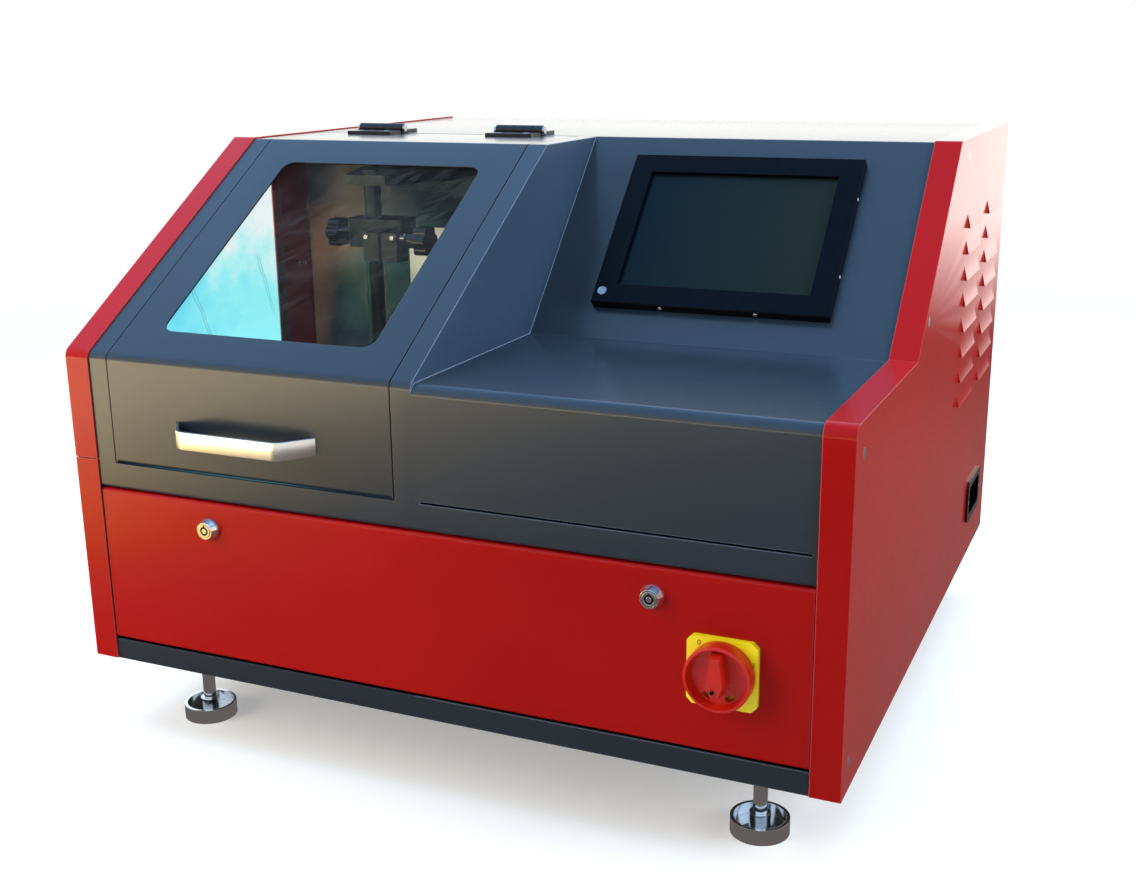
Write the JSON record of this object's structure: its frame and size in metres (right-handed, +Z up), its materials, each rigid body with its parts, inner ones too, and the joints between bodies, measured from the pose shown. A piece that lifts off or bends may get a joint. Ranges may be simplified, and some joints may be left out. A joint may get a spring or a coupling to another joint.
{
  "type": "injector test bench",
  "caption": "Benchtop tester for diesel injectors: folded steel case with a windowed flip-up hood, clamp chamber, sloping screen console and levelling feet.",
  "frame": {"origin": "on the floor under the middle of the bench's overall size", "axes": "+Z up; the front, with the door and the screen, looks along -Y; +X is to the right as seen from the front"},
  "size_m": [0.7236, 0.732, 0.5523],
  "materials": {
    "red_paint": "semi-gloss powder coat with a light texture",
    "dark_paint": "satin dark grey powder coat",
    "inner_paint": "dark satin coat on the inner sheets",
    "cream_paint": "satin cream coat",
    "satin_aluminium": "satin anodised",
    "clamp_metal": "black anodised",
    "polished_steel": "polished",
    "steel": "machined",
    "zinc_steel": "zinc plated",
    "tray_steel": "brushed stainless",
    "clear_pane": "clear sheet",
    "film_pane": "sheet with blue protective film",
    "black_plastic": "matte black",
    "gloss_black": "gloss black",
    "screen_glass": "dark screen",
    "yellow_plastic": "yellow",
    "red_plastic": "red",
    "grey_plastic": "grey",
    "motor_paint": "painted casting",
    "pump_metal": "cast, bare",
    "filter_paint": "black enamel",
    "board_green": "circuit board",
    "hinge_black": "black oxide"
  },
  "bodies": {
    "case": {"base_frame": "dark_paint", "console_cover": "dark_paint", "top_cover": "dark_paint", "back_panel": "dark_paint", "right_side_cover": "red_paint", "left_upper_cover": "red_paint", "left_lower_cover": "red_paint", "left_side_window": "film_pane", "cover_screws": "zinc_steel", "hinge_case_leaves": "hinge_black", "hinge_pins": "zinc_steel", "monitor_bezel": "gloss_black", "monitor_screen": "screen_glass", "monitor_housing": "zinc_steel", "chamber_back_wall": "inner_paint", "chamber_right_wall": "inner_paint", "chamber_tray": "tray_steel", "clamp_post": "clamp_metal", "post_bracket": "clamp_metal", "access_plate": "cream_paint", "drive_motor": "motor_paint", "high_pressure_pump": "pump_metal", "common_rail": "steel", "rail_clamps": "zinc_steel", "rail_pressure_sensor": "zinc_steel", "pressure_control_valve": "black_plastic", "high_pressure_pipes": "zinc_steel", "injector_line_outlet": "steel", "fuel_tank": "tray_steel", "fuel_filter": "filter_paint", "fan_frame": "black_plastic", "fan_guard": "zinc_steel", "power_supply": "satin_aluminium", "control_board": "board_green", "inverter": "grey_plastic", "power_inlet": "black_plastic", "foot_nuts": "zinc_steel"},
    "chamber_door": {"chamber_door": "dark_paint", "door_window": "clear_pane", "door_handle": "satin_aluminium", "hinge_door_leaves": "hinge_black"},
    "lower_panel": {"lower_front_panel": "red_paint", "lock_bodies": "polished_steel", "switch_plate": "yellow_plastic", "switch_body": "black_plastic"},
    "left_lock": {"left_lock_cylinder": "polished_steel"},
    "right_lock": {"right_lock_cylinder": "polished_steel"},
    "main_switch": {"switch_handle": "red_plastic"},
    "clamp_carriage": {"clamp_carriage": "clamp_metal"},
    "moving_jaw": {"moving_jaw": "clamp_metal"},
    "jaw_knob": {"jaw_knob": "black_plastic"},
    "post_knob": {"post_knob": "black_plastic"},
    "drive_rotor": {"drive_shafts": "steel", "drive_coupling": "steel"},
    "fan_rotor": {"fan_rotor": "black_plastic"},
    "foot_front_left": {"foot_front_left": "polished_steel"},
    "foot_front_right": {"foot_front_right": "polished_steel"},
    "foot_rear_left": {"foot_rear_left": "polished_steel"},
    "foot_rear_right": {"foot_rear_right": "polished_steel"}
  },
  "joints": [
    {"name": "door_hinge", "type": "hinge", "parent": "case", "child": "chamber_door", "pos_m": [-0.17315, 0.051, 0.5473], "axis": [-1, 0, 0], "range_deg": [0, 120]},
    {"name": "panel_hinge", "type": "hinge", "parent": "case", "child": "lower_panel", "pos_m": [0, -0.335, 0.1], "axis": [1, 0, 0], "range_deg": [0, 90]},
    {"name": "left_lock_turn", "type": "hinge", "parent": "lower_panel", "child": "left_lock", "pos_m": [-0.21675, -0.339, 0.22], "axis": [0, -1, 0], "range_deg": [0, 90]},
    {"name": "right_lock_turn", "type": "hinge", "parent": "lower_panel", "child": "right_lock", "pos_m": [0.20425, -0.339, 0.22], "axis": [0, 1, 0], "range_deg": [0, 90]},
    {"name": "main_switch_turn", "type": "hinge", "parent": "lower_panel", "child": "main_switch", "pos_m": [0.26295, -0.339, 0.167], "axis": [0, 1, 0], "range_deg": [0, 90]},
    {"name": "carriage_slide", "type": "slide", "parent": "case", "child": "clamp_carriage", "axis": [0, 0, 1], "range_m": [-0.14, 0.03]},
    {"name": "jaw_slide", "type": "slide", "parent": "clamp_carriage", "child": "moving_jaw", "axis": [-1, 0, 0], "range_m": [0, 0.0025]},
    {"name": "jaw_knob_turn", "type": "hinge", "parent": "moving_jaw", "child": "jaw_knob", "pos_m": [-0.13175, -0.10462, 0.451], "axis": [-1, 0, 0], "range_deg": [0, 900]},
    {"name": "post_knob_turn", "type": "hinge", "parent": "clamp_carriage", "child": "post_knob", "pos_m": [-0.21175, -0.084, 0.453], "axis": [-1, 0, 0], "range_deg": [0, 180]},
    {"name": "drive_turn", "type": "hinge", "parent": "case", "child": "drive_rotor", "pos_m": [0, 0.22093, 0.193], "axis": [1, 0, 0], "continuous": true},
    {"name": "fan_turn", "type": "hinge", "parent": "case", "child": "fan_rotor", "pos_m": [0.19325, 0.34, 0.405], "axis": [0, 1, 0], "continuous": true},
    {"name": "foot_front_left_screw", "type": "slide", "parent": "case", "child": "foot_front_left", "axis": [0, 0, 1], "range_m": [-0.015, 0.03]},
    {"name": "foot_front_right_screw", "type": "slide", "parent": "case", "child": "foot_front_right", "axis": [0, 0, 1], "range_m": [-0.015, 0.03]},
    {"name": "foot_rear_left_screw", "type": "slide", "parent": "case", "child": "foot_rear_left", "axis": [0, 0, 1], "range_m": [-0.015, 0.03]},
    {"name": "foot_rear_right_screw", "type": "slide", "parent": "case", "child": "foot_rear_right", "axis": [0, 0, 1], "range_m": [-0.015, 0.03]}
  ],
  "couplings": [
    {"joint": "jaw_knob_turn", "follows": "jaw_slide", "rad_per_m": 6283.2}
  ]
}
